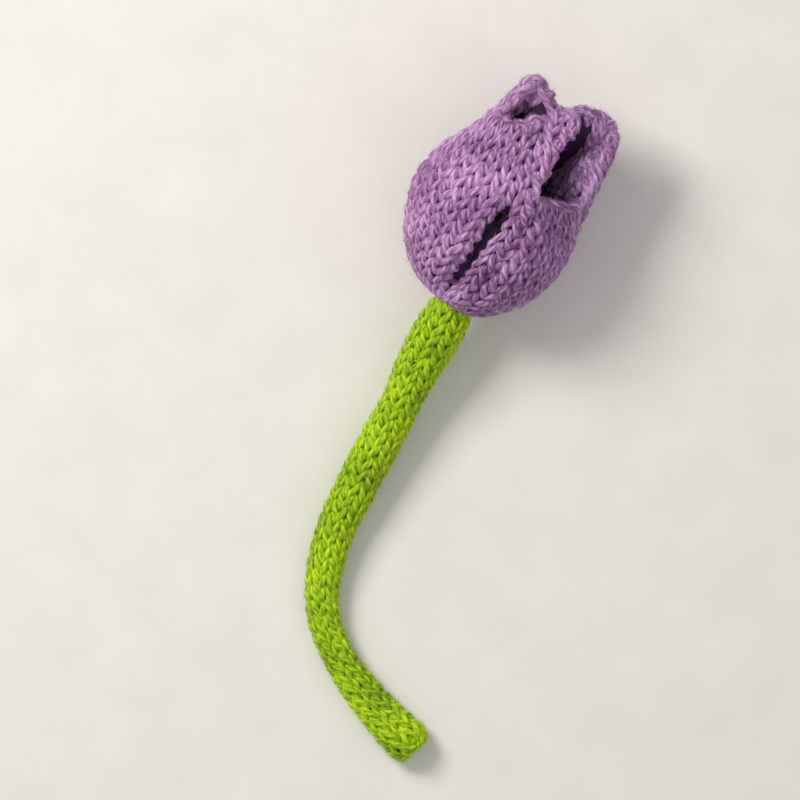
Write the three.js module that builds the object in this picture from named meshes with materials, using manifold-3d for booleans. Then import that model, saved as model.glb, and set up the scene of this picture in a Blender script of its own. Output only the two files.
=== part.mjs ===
// A knitted tulip that lies on a table: a stuffed head of purple stockinette, pinched together at its top, on
// a stem of green knitted cord with a bendable core. Millimetres, +Z up, the table at z = 0.
import * as THREE from "three";
import { mergeVertices } from "three/addons/utils/BufferGeometryUtils.js";
import Module from "manifold-3d";

const wasm = await Module();
wasm.setup();

// The knitting.
const PLACES = 4; // grid points across a column of stitches
const FABRIC = 2.4; // how thick one layer of it is, under the stitches
const HEAD_WALES = 26; // columns of stitches round the head
const HEAD_ROWS = 18; // rows from the stem to the rim
const HEAD_RELIEF = 0.85; // how far a stitch stands out
const STEM_WALES = 7;
const STEM_ROWS = 36;
const STEM_RELIEF = 0.75;
const STITCH_LEAN = 1.0; // rows that each leg of a stitch climbs, so that two legs make a V upside down

// The head, in its own frame: x to the right, y along its axis from the stem to the rim, z to its front.
// Each line gives height, reach to the left, reach to the right, and half the depth, at even steps of skin.
const HEAD_SHAPE = [
  [0.2, 5.5, 5.7, 5.6],
  [2.6, 12.5, 9.8, 10.6],
  [8.6, 18.5, 15.1, 15.4],
  [16.6, 22.1, 18.3, 18.3],
  [25.4, 23.5, 18.9, 18.9],
  [34.4, 21.1, 17.9, 17.2],
  [43.6, 16.3, 17.5, 13.0],
  [52.6, 13.5, 17.3, 9.6],
  [61.6, 12.0, 16.1, 8.0],
];
const SHAPE_STEP = 9.1; // length of skin between two of these lines
const RIM_LINE = 7; // the line near which the rim lies
const HEAD_TILT = 12; // degrees that the head's top is raised off the table
const HEAD_TURN = -28.8; // degrees from +Y, seen from above
const HEAD_BASE = new THREE.Vector3(-1.9, 27.8, 13.4); // where the axis leaves the stem
// The height of the rim every 20 degrees round the head, from the front over the right, the back and the left,
// without the deep dip of its right front, whose two sides are given in degrees, and without the notch that
// the strand of the pinch draws into the back.
const RIM = [57.5, 55.5, 55, 55, 55.5, 57, 58.8, 60, 59.6, 58.6, 58.6, 59.3, 60, 56, 50.5, 48.8, 49.8, 51];
const RIM_DIP = { drop: 18, near: [7, 22], far: [66, 112] };
const RIM_NOTCH = { drop: 2.6, at: 187, reach: 9 };
// The front drawn to the back at the top. At the right the back is drawn along over a longer reach.
const PINCH = { share: 0.7, x: -0.4, reach: 5.2, backReach: 10, starts: 36, ends: 52 };
const SLIT = { bottom: [-3.2, 4.2], top: [0.6, 32.5], half: 1.15 }; // the seam that gapes at the front
const SLIT_WIDEST = 0.4; // the share of its length at which it is widest
const SLIT_CUT = [6, 30]; // the depths, along z, between which it is cut
const LIP = { drop: 1.5, reach: 2.0, starts: [-0.12, 0.08], ends: [0.9, 1.1] }; // its edges roll in
const SEAM_GROOVE = { shift: 6.4, drop: 0.9, reach: 1.5 }; // a second groove to the right of the slit
const RIDGE = { line: [[4.8, 35], [4.2, 43], [2.2, 50], [-0.4, 54]], rise: 1.7, reach: 2.3, starts: [27, 36] };
const DENT = { x: 14.5, y: 32.5, drop: 1.6, reach: 5.0 }; // below the right pocket
const PINCH_YARN = 1.0; // the radius of the strand that goes over the rim and holds the pinch
const PINCH_CLEAR = 0.84; // between the strand and the stitches' tops at the front and the back
const FLOOR_SKIN = 1.4; // the least thickness where the head's weight presses it flat
// Shares of the way from the stem to the rim at which the rings of the cover's inside and of the filling lie.
const INSIDE_LEVELS = [0.985, 0.88, 0.76, 0.62, 0.46, 0.3, 0.14, 0.03];
const STUFFING_LEVELS = [0.1, 0.18, 0.3, 0.42, 0.54, 0.64, 0.71];

// The stem's centre line from its cut end to the head, in the table's frame: x, y and radius.
const STEM_LINE = [
  [-13.2, -82.0, 5.1],
  [-21.8, -73.0, 4.4],
  [-29.8, -62.4, 3.65],
  [-34.4, -51.5, 3.5],
  [-34.8, -41.0, 3.85],
  [-31.8, -29.0, 4.35],
  [-26.0, -17.0, 4.75],
  [-19.3, -4.2, 4.8],
  [-15.2, 3.4, 4.5],
  [-11.2, 11.8, 5.2],
  [-6.0, 20.8, 5.8],
];
const STEM_INTO_HEAD = 2.0; // how far its open end goes into the head
const STEM_NECK = 4.4; // its radius there
const STEM_LOW = 3.3; // the height of its centre line where it lies on the table
const STEM_RISES = 90; // the length over which it rises to the head
const STEM_WALL = 1.9;
const STEM_FLOOR = 1.2; // the least height of its bore above the table
const STEM_END = [{ share: 0.6, out: 1.1 }, { share: 0.92, out: 0.8 }]; // rings that round its cut end
const CLEAR = 0.35; // between pieces that touch

const PURPLE = 0xb184bd;
const GREEN = 0x86b81e;
const DARK_PURPLE = 0x6b4675;
const WIRE_WHITE = 0xd9dccf;

// The value at q on a smooth curve through evenly spaced rows of numbers.
function smoothRow(rows, q) {
  const last = rows.length - 1;
  const i = Math.min(Math.max(Math.floor(q), 0), last - 1);
  const t = q - i;
  const row = (k) => rows[Math.min(Math.max(k, 0), last)];
  return rows[0].map((_, n) => {
    const [a, b, c, d] = [row(i - 1)[n], row(i)[n], row(i + 1)[n], row(i + 2)[n]];
    return b + 0.5 * t * (c - a + t * (2 * a - 5 * b + 4 * c - d + t * (3 * (b - c) + d - a)));
  });
}

const { smoothstep } = THREE.MathUtils;
const bell = (distance, reach) => Math.exp(-((distance / reach) ** 2));

// The height of the rim at an angle round the head.
function rimHeight(angle) {
  const degrees = THREE.MathUtils.euclideanModulo(THREE.MathUtils.radToDeg(angle), 360);
  const q = (degrees / 360) * RIM.length;
  const at = (k) => RIM[(k + RIM.length) % RIM.length];
  const i = Math.floor(q);
  const [height] = smoothRow([[at(i - 1)], [at(i)], [at(i + 1)], [at(i + 2)]], 1 + q - i);
  const { drop, near, far } = RIM_DIP;
  const dip = smoothstep(degrees, ...near) * (1 - smoothstep(degrees, ...far));
  return height - drop * dip - RIM_NOTCH.drop * bell(degrees - RIM_NOTCH.at, RIM_NOTCH.reach);
}

// The place on HEAD_SHAPE, in lines, of a height near the rim.
function lineOfHeight(height) {
  let q = RIM_LINE;
  for (let n = 0; n < 8; n++) q -= (smoothRow(HEAD_SHAPE, q)[0] - height) / SHAPE_STEP;
  return q;
}

// The head's skin without stitches. share runs from 0 at the stem to 1 at the rim.
function skinPoint(angle, share) {
  const q = share * RIM_LINE + (lineOfHeight(rimHeight(angle)) - RIM_LINE) * share ** 3;
  const [y, left, right, depth] = smoothRow(HEAD_SHAPE, q);
  const x = (right - left) / 2 + ((right + left) / 2) * Math.sin(angle);
  const drawn = smoothstep(y, PINCH.starts, PINCH.ends) * PINCH.share;
  const rightBack = x > PINCH.x && Math.cos(angle) < 0;
  const near = bell(x - PINCH.x, rightBack ? PINCH.backReach : PINCH.reach);
  return new THREE.Vector3(x, y, depth * Math.cos(angle) * (1 - drawn * near));
}

function skinNormal(angle, share) {
  const step = 1e-3;
  const round = skinPoint(angle + step, share).sub(skinPoint(angle - step, share));
  const along = skinPoint(angle, share + step).sub(skinPoint(angle, share - step));
  return round.cross(along).normalize();
}

// How far the folds of the fabric lift its front, or sink it, at a place on the skin.
function foldLift({ x, y, z }) {
  if (z < 0) return 0;
  const [[x0, y0], [x1, y1]] = [SLIT.bottom, SLIT.top];
  const along = (y - y0) / (y1 - y0);
  const ends = smoothstep(along, ...LIP.starts) * (1 - smoothstep(along, ...LIP.ends));
  const beside = x - THREE.MathUtils.lerp(x0, x1, along);
  const [ridgeX] = smoothRow(RIDGE.line, ridgePlace(y));
  const onRidge = smoothstep(y, ...RIDGE.starts) * bell(x - ridgeX, RIDGE.reach);
  return (
    onRidge * RIDGE.rise -
    ends * LIP.drop * bell(beside, LIP.reach) -
    ends * SEAM_GROOVE.drop * bell(beside - SEAM_GROOVE.shift, SEAM_GROOVE.reach) -
    DENT.drop * bell(Math.hypot(x - DENT.x, y - DENT.y), DENT.reach)
  );
}

// The place on the ridge's line, in its points, of a height.
function ridgePlace(height) {
  const line = RIDGE.line;
  const i = Math.max(0, Math.min(line.length - 2, line.findLastIndex((point) => point[1] <= height)));
  return i + THREE.MathUtils.clamp((height - line[i][1]) / (line[i + 1][1] - line[i][1]), 0, 1);
}

// How far a stitch stands out, from 0 to 1, at a grid line and at a place across its column in quarters, from
// its border to its middle and back. Even lines run along the legs, and odd ones between them.
function stitchHeight(place, line) {
  const across = line % 2 === 0 ? [0.12, 1, 0.5, 1] : [0, 0.18, 0.1, 0.18];
  return across[place % PLACES];
}

// How far a grid line shifts toward the head's rim at a place across the column, in rows.
function stitchShift(place) {
  return STITCH_LEAN * ([0, 0.5, 1, 0.5][place % PLACES] - 0.5);
}

// Moves a point of the head's frame up to a height above the table.
function pressFlat(point, least) {
  const tilt = THREE.MathUtils.degToRad(HEAD_TILT);
  const height = HEAD_BASE.z + point.y * Math.sin(tilt) + point.z * Math.cos(tilt);
  if (height < least) point.z += (least - height) / Math.cos(tilt);
  return point;
}

// A closed solid from rings of points, each joined to the next. ends is "loop" where the last ring joins the
// first, as in a hollow skin with two openings, or "points" where the middles of both end rings close it.
function solidOfRings(rings, ends) {
  const sides = rings[0].length;
  const position = rings.flat().flatMap((point) => point.toArray());
  const index = [];
  const bands = ends === "loop" ? rings.length : rings.length - 1;
  for (let r = 0; r < bands; r++)
    for (let s = 0; s < sides; s++) {
      const [a, b] = [r * sides + s, r * sides + ((s + 1) % sides)];
      const next = (r + 1) % rings.length;
      const [c, d] = [next * sides + s, next * sides + ((s + 1) % sides)];
      index.push(a, b, c, b, d, c);
    }
  if (ends === "points")
    for (const [ring, turned] of [[0, false], [rings.length - 1, true]]) {
      const middle = position.length / 3;
      const centre = new THREE.Vector3();
      rings[ring].forEach((point) => centre.addScaledVector(point, 1 / sides));
      position.push(...centre.toArray());
      for (let s = 0; s < sides; s++) {
        const [a, b] = [ring * sides + s, ring * sides + ((s + 1) % sides)];
        index.push(middle, turned ? a : b, turned ? b : a);
      }
    }
  return new THREE.BufferGeometry()
    .setAttribute("position", new THREE.Float32BufferAttribute(position, 3))
    .setIndex(index);
}

function ring(sides, pointAt) {
  return Array.from({ length: sides }, (_, s) => pointAt((s / sides) * 2 * Math.PI, s));
}

function toManifold(geometry) {
  const bare = new THREE.BufferGeometry().setAttribute("position", geometry.getAttribute("position"));
  if (geometry.index) bare.setIndex(geometry.index);
  const merged = mergeVertices(bare, 1e-4);
  return new wasm.Manifold(
    new wasm.Mesh({
      numProp: 3,
      vertProperties: new Float32Array(merged.attributes.position.array),
      triVerts: new Uint32Array(merged.index.array),
    }),
  );
}

function fromManifold(solid) {
  const { vertProperties, triVerts } = solid.getMesh();
  return new THREE.BufferGeometry()
    .setAttribute("position", new THREE.BufferAttribute(vertProperties, 3))
    .setIndex(new THREE.BufferAttribute(triVerts, 1));
}

function named(name, geometry, colour, roughness) {
  geometry.computeVertexNormals();
  const material = new THREE.MeshStandardMaterial({ color: colour, roughness, metalness: 0 });
  const mesh = new THREE.Mesh(geometry, material);
  mesh.name = name;
  return mesh;
}

// The knitted head: its outside with a relief of stitches, over the rim and down its inside, less the slit.
function headCover() {
  const sides = HEAD_WALES * PLACES;
  const lines = HEAD_ROWS * 2;
  const outside = Array.from({ length: lines + 1 }, (_, line) =>
    ring(sides, (angle, place) => {
      const level = line / lines;
      const fade = smoothstep(level, 0, 0.12) * (1 - smoothstep(level, 0.96, 1));
      const share = level + (stitchShift(place) / HEAD_ROWS) * fade;
      const point = skinPoint(angle, share);
      const lift = foldLift(point) + HEAD_RELIEF * stitchHeight(place, line) * (0.25 + 0.75 * fade);
      return pressFlat(point.addScaledVector(skinNormal(angle, share), lift), 0);
    }),
  );
  const inside = INSIDE_LEVELS.map((share) => insideRing(sides, share, FABRIC, FLOOR_SKIN));
  const whole = toManifold(solidOfRings([...outside, ...inside], "loop"));
  return fromManifold(whole.subtract(toManifold(slitCutter())));
}

// A ring inside the skin, a depth below it, and no lower than a height above the table.
function insideRing(sides, share, depth, least) {
  return ring(sides, (angle) => {
    const point = skinPoint(angle, share);
    const sunk = Math.min(foldLift(point), 0) - depth;
    return pressFlat(point.addScaledVector(skinNormal(angle, share), sunk), least);
  });
}

// A long narrow lens, deep enough to go through the front of the head.
function slitCutter() {
  const [bottom, top] = [SLIT.bottom, SLIT.top].map((point) => new THREE.Vector2(...point));
  const across = top.clone().sub(bottom).normalize().rotateAround(new THREE.Vector2(), Math.PI / 2);
  const bulge = across.multiplyScalar(SLIT.half * 2);
  const middle = bottom.clone().lerp(top, SLIT_WIDEST);
  const outline = new THREE.Shape();
  outline.moveTo(bottom.x, bottom.y);
  outline.quadraticCurveTo(middle.x - bulge.x, middle.y - bulge.y, top.x, top.y);
  outline.quadraticCurveTo(middle.x + bulge.x, middle.y + bulge.y, bottom.x, bottom.y);
  const [inner, outer] = SLIT_CUT;
  const settings = { depth: outer - inner, curveSegments: 12, bevelEnabled: false };
  return new THREE.ExtrudeGeometry(outline, settings).translate(0, 0, inner);
}

// The filling: one soft ball that keeps clear of the fabric, and stops below the pockets of the rim.
function stuffing() {
  const sunk = FABRIC + LIP.drop + CLEAR;
  const rings = STUFFING_LEVELS.map((share) => insideRing(28, share, sunk, FLOOR_SKIN + 2 * CLEAR));
  return solidOfRings(rings, "points");
}

// The strand over the rim, from low on the front to low on the back, clear of the stitches.
function pinchStitch() {
  const above = (angle, share) => {
    const point = skinPoint(angle, share);
    const lift = HEAD_RELIEF + Math.max(foldLift(point), 0) + PINCH_CLEAR + PINCH_YARN;
    return point.setZ(point.z + Math.sign(point.z) * lift);
  };
  const [frontAngle, backAngle] = [-0.15, Math.PI + 0.12]; // the angles of the pinch
  const front = [0.95, 0.98].map((share) => above(frontAngle, share));
  const back = [0.98, 0.95].map((share) => above(backAngle, share));
  const overRim = Math.max(rimHeight(frontAngle), rimHeight(backAngle)) + PINCH_YARN + 2 * CLEAR;
  const top = [0.35, -0.35].map((z) => new THREE.Vector3(PINCH.x, overRim, z * (front[1].z - back[0].z)));
  const curve = new THREE.CatmullRomCurve3([...front, ...top, ...back], false, "centripetal");
  const rings = framesAlong(curve, 22).map((frame) => roundRing(frame, 10, PINCH_YARN, -Infinity));
  return solidOfRings(rings, "points");
}

// The stem's centre line in the table's frame, from its cut end into the head.
function stemCurve(axis) {
  const neck = HEAD_BASE.clone().addScaledVector(axis, -1.5);
  const tip = HEAD_BASE.clone().addScaledVector(axis, STEM_INTO_HEAD);
  const plan = [...STEM_LINE.map(([x, y]) => new THREE.Vector3(x, y, 0)), neck, tip];
  let toHead = 0;
  for (let i = plan.length - 1; i >= 0; i--) {
    if (i < plan.length - 1) toHead += Math.hypot(plan[i].x - plan[i + 1].x, plan[i].y - plan[i + 1].y);
    const rising = Math.max(0, 1 - toHead / STEM_RISES);
    plan[i].z = THREE.MathUtils.lerp(STEM_LOW, tip.z, rising ** 2);
  }
  return new THREE.CatmullRomCurve3(plan, false, "centripetal");
}

// Places along a curve at even lengths, each with its two directions across, which don't twist.
function framesAlong(curve, count) {
  const { normals, binormals } = curve.computeFrenetFrames(count - 1, false);
  return normals.map((side, i) => ({ centre: curve.getPointAt(i / (count - 1)), side, up: binormals[i] }));
}

const radiusRows = [...STEM_LINE.map(([, , radius]) => [radius]), [STEM_NECK + 0.5], [STEM_NECK]];

// The stem's radius at a share of its length, without stitches.
function stemRadius(curve, share) {
  return smoothRow(radiusRows, curve.getUtoTmapping(share) * (radiusRows.length - 1))[0];
}

// A point beside a curve, at an angle round it, and no lower than a height above the table.
function roundPoint({ centre, side, up }, angle, radius, least) {
  const point = centre.clone();
  point.addScaledVector(side, radius * Math.cos(angle)).addScaledVector(up, radius * Math.sin(angle));
  return point.setZ(Math.max(point.z, least));
}

function roundRing(frame, sides, radius, least) {
  return ring(sides, (angle) => roundPoint(frame, angle, radius, least));
}

// The knitted cord of the stem, closed at its cut end and open at the head, with a bore for its core.
function stemCover(curve) {
  const sides = STEM_WALES * PLACES;
  const lines = STEM_ROWS * 2;
  const fine = 4;
  const frames = framesAlong(curve, lines * fine + 1);
  const outside = [];
  for (let line = 0; line <= lines; line++) {
    const fade = Math.min(1, line / 4, (lines - line) / 4);
    outside.push(
      ring(sides, (angle, place) => {
        const at = THREE.MathUtils.clamp(line + 2 * stitchShift(place) * fade, 0, lines);
        const radius = stemRadius(curve, at / lines) + STEM_RELIEF * stitchHeight(place, line) * fade;
        return roundPoint(frames[Math.round(at * fine)], angle, radius, 0);
      }),
    );
  }
  const end = STEM_END.map(({ share, out }) => {
    const back = frames[0].centre.clone().sub(frames[fine].centre).normalize().multiplyScalar(out);
    return roundRing(frames[0], sides, stemRadius(curve, 0) * share, 0).map((point) => point.add(back));
  });
  const bore = boreRings(curve, sides, STEM_WALL, 20, 2, STEM_FLOOR);
  return solidOfRings([...end, ...outside, ...bore.reverse()], "points");
}

// Rings along the inside of the stem, from skip rings above its cut end, a depth below its skin.
function boreRings(curve, sides, depth, count, skip, least) {
  return framesAlong(curve, count + 1)
    .map((frame, i) => roundRing(frame, sides, stemRadius(curve, i / count) - depth, least))
    .slice(skip);
}

// The bendable core, a fleecy wire as thick as the cord's bore.
function stemCore(curve) {
  const rings = boreRings(curve, 10, STEM_WALL + 1.5 * CLEAR, 36, 4, STEM_FLOOR + CLEAR);
  return solidOfRings(rings.slice(0, -1), "points");
}

const head = new THREE.Group();
head.position.copy(HEAD_BASE);
head.rotation.set(THREE.MathUtils.degToRad(HEAD_TILT), 0, THREE.MathUtils.degToRad(HEAD_TURN), "ZXY");
head.add(named("head_cover", headCover(), PURPLE, 0.85));
head.add(named("head_stuffing", stuffing(), DARK_PURPLE, 0.95));
head.add(named("pinch_stitch", pinchStitch(), PURPLE, 0.85));

const headAxis = new THREE.Vector3(0, 1, 0).applyEuler(head.rotation);
const stemLine = stemCurve(headAxis);
const tulip = new THREE.Group();
tulip.add(head);
tulip.add(named("stem_cover", stemCover(stemLine), GREEN, 0.85));
tulip.add(named("stem_core", stemCore(stemLine), WIRE_WHITE, 0.9));

// The origin is on the table, under the middle of the whole.
const middle = new THREE.Box3().setFromObject(tulip, true).getCenter(new THREE.Vector3());
tulip.position.set(-middle.x, -middle.y, 0);

export default tulip;
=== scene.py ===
"""A knitted tulip on a pale table, seen from straight above: a stuffed head of purple stockinette whose yarn
is laid loop by loop over the shape of the CAD part, and a stem of green knitted cord. Lengths are in
millimetres up to the point where a mesh is made, which is in metres."""

import math

import bpy
import numpy as np
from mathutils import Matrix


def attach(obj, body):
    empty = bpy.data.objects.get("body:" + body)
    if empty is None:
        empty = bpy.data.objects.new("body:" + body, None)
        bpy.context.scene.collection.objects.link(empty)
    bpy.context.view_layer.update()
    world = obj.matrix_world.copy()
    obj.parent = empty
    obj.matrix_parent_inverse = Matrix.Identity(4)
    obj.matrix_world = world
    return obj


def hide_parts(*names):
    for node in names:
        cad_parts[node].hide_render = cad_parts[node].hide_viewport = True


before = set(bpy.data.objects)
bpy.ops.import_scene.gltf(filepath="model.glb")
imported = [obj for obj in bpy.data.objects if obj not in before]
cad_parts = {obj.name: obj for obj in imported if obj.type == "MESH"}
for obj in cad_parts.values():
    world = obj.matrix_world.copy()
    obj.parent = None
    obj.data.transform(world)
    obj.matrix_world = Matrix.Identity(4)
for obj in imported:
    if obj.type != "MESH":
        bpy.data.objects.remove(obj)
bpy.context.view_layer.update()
MM = 0.001
rng = np.random.default_rng(7)

# The camera, straight above, with a long lens. A pixel of an 800 pixel picture is 0.25 mm on the table.
VIEW_CENTRE = (-15.6, 4.05)
VIEW_WIDTH = 200
CAMERA_HEIGHT = 2500
SENSOR = 36

camera = bpy.data.objects.new("camera", bpy.data.cameras.new("camera"))
camera.data.sensor_width = SENSOR
camera.data.lens = SENSOR * CAMERA_HEIGHT / VIEW_WIDTH
camera.data.clip_end = 10
camera.location = (VIEW_CENTRE[0] * MM, VIEW_CENTRE[1] * MM, CAMERA_HEIGHT * MM)
bpy.context.collection.objects.link(camera)
bpy.context.scene.camera = camera

# The lists below are in a frame that is this far from the part's.
PLAN_SHIFT = np.array([-0.041, 0.370, 0.0])

# The head in its own frame, as in the CAD part: x to the right, y along its axis from the stem to the rim, z
# to its front. Heights are along y. Angles round it are counted from the front to the right. Each line gives
# height, reach to the left, reach to the right, and half the depth.
HEAD_SHAPE = [
    [0.2, 5.5, 5.7, 5.6],
    [2.6, 12.5, 9.8, 10.6],
    [8.6, 18.5, 15.1, 15.4],
    [16.6, 22.1, 18.3, 18.3],
    [25.4, 23.5, 18.9, 18.9],
    [34.4, 21.1, 17.9, 17.2],
    [43.6, 16.3, 17.5, 13.0],
    [52.6, 13.5, 17.3, 9.6],
    [61.6, 12.0, 16.1, 8.0],
]
SHAPE_STEP = 9.1  # the length of fabric from line to line
RIM_LINE = 7  # the line that is nearest to the rim
HEAD_TILT = math.radians(12)  # its axis rises from the table
HEAD_TURN = math.radians(-28.8)  # and points this far to the right
HEAD_BASE = np.array([-1.9, 27.8, 13.4])  # its foot

# The rim's height every 20 degrees, its dip at the right of the front, and its notch at the back.
RIM = [57.5, 55.5, 55, 55, 55.5, 57, 58.8, 60, 59.6, 58.6, 58.6, 59.3, 60, 56, 50.5, 48.8, 49.8, 51]
RIM_DIP = dict(drop=18, near=(0, 17), far=(66, 112))
RIM_NOTCH = dict(drop=2.6, at=187, reach=9)
RIM_HALF = (15, 10)  # about half its width and half its depth

# The pinch draws front and back together by a share of the depth. It starts and ends at heights of the head.
PINCH = dict(share=0.7, x=-0.4, reach=5.2, back_reach=10, starts=36, ends=52)

# The front's ridge, its dent, and the groove beside the seam.
RIDGE = dict(line=[[4.8, 35], [4.2, 43], [2.2, 50], [-0.4, 54]], rise=1.7, reach=2.3, starts=(27, 36))
DENT = dict(x=14.5, y=32.5, drop=1.6, reach=5.0)
SEAM_GROOVE = dict(shift=6.4, drop=2.2, reach=1.4, starts=(1, 6), ends=(30, 36))

# The seam at the front, as x at heights of the head. It gapes between two of them, and its edges roll in.
SEAM_LINE = [[-3.6, 0], [-3.2, 4.2], [-1.3, 18], [0.6, 32.5], [0.3, 42], [0.8, 50.4], [-0.4, 56]]
# GAPE_HALF is half the gap's width at heights.
GAPES = (5.0, 32.0)
GAPE_STARTS = (2, 5)  # it opens over these heights
GAPE_ENDS = (31, 35)  # and closes over these
GAPE_HALF = [[2.5, 0], [2.6, 8], [2.5, 14], [2.6, 20], [2.3, 26], [1.9, 30], [1.4, 34], [1.2, 40]]
EDGE_ROLL = 3.4  # the width of fabric that rolls in
EDGE_TURN = 1.5  # how far it turns, in radians
EASE = 15  # the width of fabric beside it that makes room for the gap
STEEPEST_SEAM = 0.9  # the seam stays within this share of the head's half width

# The stem's centre line from its cut end to the head: x, y and radius.
STEM_LINE = [
    [-13.2, -82.0, 5.1],
    [-21.8, -73.0, 4.4],
    [-29.8, -62.4, 3.65],
    [-34.4, -51.5, 3.5],
    [-34.8, -41.0, 3.85],
    [-31.8, -29.0, 4.35],
    [-26.0, -17.0, 4.75],
    [-19.3, -4.2, 4.8],
    [-15.2, 3.4, 4.5],
    [-11.2, 11.8, 5.2],
    [-6.0, 20.8, 5.8],
]
STEM_INTO_HEAD = 2.0
NECK_BELOW = 1.5  # the neck's distance below the head's foot
STEM_NECK = 4.4
NECK_FLARE = 0.5
STEM_LOW = 3.3  # the height of the centre line where the stem lies on the table
STEM_RISES = 90  # the length over which it rises to the head
STEM_CLOSES = dict(rows=1.6, out=1.7, power=1.5)  # the rounded cut end

# The knitting. A loop's legs lie in front, and its bows pass behind the next rows.
HEAD_YARN = dict(radius=1.0, plies=3, pitch=9.0)
STEM_YARN = dict(radius=0.82, plies=3, pitch=7.5)
LOOP_SAMPLES = 20
UNEVEN = dict(spread=0.1, slip=0.7, swell=0.8)  # how uneven the hand's loops are
HEAD_LOOP = dict(lean=0.27, reach=0.86, depth=0.95)
STEM_LOOP = dict(lean=0.27, reach=0.86, depth=0.7)

# The head's rows go from the stem over the rim and down into the pockets. Its wales are the columns of a row.
HEAD_ROWS = 26
ROW_HEIGHT = 3.95
HEAD_WALES = [12, 16, 20, 24] + [26] * 9 + [24] * 2 + [22] * 2 + [20] * 9
HEAD_PROUD = 0.85  # the legs stand this far out of the bare skin
HEAD_DEPTH = HEAD_LOOP["depth"] + HEAD_YARN["radius"] - HEAD_PROUD  # the fabric's middle lies this deep
FLAT_HEIGHT = HEAD_LOOP["depth"] + HEAD_YARN["radius"]  # and stays this high above the table
FOOT_ROW = -0.2  # no loop reaches further down
FULL_WIDTH = 4.4  # the width of a column whose yarn has its full thickness
THINNEST = 0.72

# At the rim the fabric rolls over, with its loops flatter, and goes on inside, with its yarn fuller.
RIM_PROUD = 1.0  # the fabric's middle stays this far under the rim
ROLL = 1.0  # the radius at which it rolls over
ALONG_RIM = 6  # the width of fabric past the rim that goes square to it
RIM_FLATTER = dict(over=(-2, 3), by=0.3, on_top=0.4, reach=2.5)
FULLER_INSIDE = dict(over=(6, 12), by=0.5)

# The two strands of the cast-off edge: the length of a turn, how far it goes to either side and in and out.
CAST_OFF = dict(pitch=9.6, apart=0.9, deep=0.5, out=0.3, thickness=0.9, places=900)
THIN_RIM = dict(starts=(55, 80), ends=(140, 170), share=0.28, sunk=0.5)  # the edge is drawn thin at the right

# How far down the inside is knitted, up to angles in degrees. The front's is short, so that it stays out of
# the slit, and the right pocket's back goes down to the pocket's floor.
POCKET_DEPTHS = [(50, 3.5), (90, 14), (186, 30), (270, 3.6), (360, 3.5)]

# The pinch closes the inside below these depths: to the right of it, in its middle, and left of left_of.
CLOSED = dict(reach=4.5, right=2, middle=0, left=6, left_of=-1.5)
BEHIND_PINCH = dict(over=(166, 200), depth=5)  # and at the back, between these angles

# In the right pocket the inside of the back comes forward as it goes down, and under its top lies a fold.
POCKET_FLOOR = dict(starts=(74, 104), ends=(134, 160), rise=5.5, over=(4, 16), slower=0.15)
BAND = dict(starts=(110, 150), ends=(188, 198), rise=3.0, at=2.6, reach=2.8)

# The stem's cord.
STEM_ROWS = 36
STEM_WALES = 7
STEM_END_WALES = 5  # the columns of the row that closes its cut end
STEM_END_ROW = -1.0
STEM_LAST = -1.5  # no loop reaches further past the cut end
STEM_PROUD = 0.75
STEM_DEPTH = STEM_LOOP["depth"] + STEM_YARN["radius"] - STEM_PROUD
STEM_FLAT = STEM_LOOP["depth"] + STEM_YARN["radius"]


def smoothstep(value, low, high):
    t = np.clip((value - low) / (high - low), 0, 1)
    return t * t * (3 - 2 * t)


def between(value, starts, ends):
    """Rises from 0 to 1 over the stretch starts, and falls back to 0 over the stretch ends."""
    return smoothstep(value, *starts) * (1 - smoothstep(value, *ends))


def bell(distance, reach):
    return np.exp(-((distance / reach) ** 2))


def degrees_round(angle):
    return np.mod(np.degrees(angle), 360)


def smooth_rows(rows, q):
    """The values at places q on a smooth curve through evenly spaced rows of numbers."""
    rows = np.asarray(rows, float)
    last = len(rows) - 1
    i = np.clip(np.floor(q).astype(int), 0, last - 1)
    t = (q - i)[..., None]
    a, b, c, d = (rows[np.clip(i + k, 0, last)] for k in (-1, 0, 1, 2))
    return b + 0.5 * t * (c - a + t * (2 * a - 5 * b + 4 * c - d + t * (3 * (b - c) + d - a)))


def on_line(line, height):
    """x at a height, on a line of [x, height] points."""
    xs, heights = np.array(line, float).T
    return np.interp(height, heights, xs)


def smooth_line(points, steps=24):
    """A smooth curve through points, with steps places in each stretch."""
    points = np.asarray(points, float)
    whole = np.vstack([2 * points[0] - points[1], points, 2 * points[-1] - points[-2]])
    t = np.linspace(0, 1, steps, endpoint=False)[:, None]
    parts = []
    for a, b, c, d in zip(whole, whole[1:], whole[2:], whole[3:]):
        ab, bc, cd = (np.linalg.norm(q - p) ** 0.5 for p, q in ((a, b), (b, c), (c, d)))
        leaves = bc * ((b - a) / ab - (c - a) / (ab + bc) + (c - b) / bc)
        arrives = bc * ((c - b) / bc - (d - b) / (bc + cd) + (d - c) / cd)
        bend = 3 * (c - b) - 2 * leaves - arrives
        parts.append(b + t * (leaves + t * (bend + t * (2 * (b - c) + leaves + arrives))))
    return np.vstack([*parts, points[-1:]])


def unit(vectors):
    return vectors / np.linalg.norm(vectors, axis=-1, keepdims=True)


# The head's skin.


def rim_height(angle):
    degrees = degrees_round(angle)
    rows = np.array([RIM[-1], *RIM, *RIM[:3]])[:, None]
    dip = between(degrees, RIM_DIP["near"], RIM_DIP["far"])
    notch = bell(degrees - RIM_NOTCH["at"], RIM_NOTCH["reach"])
    height = smooth_rows(rows, degrees / 360 * len(RIM) + 1)[..., 0]
    return height - RIM_DIP["drop"] * dip - RIM_NOTCH["drop"] * notch


def line_of_height(height):
    """The place q on the lines of HEAD_SHAPE where they have a height."""
    q = np.full_like(height, RIM_LINE)
    for _ in range(8):
        q = q - (smooth_rows(HEAD_SHAPE, q)[..., 0] - height) / SHAPE_STEP
    return q


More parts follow.
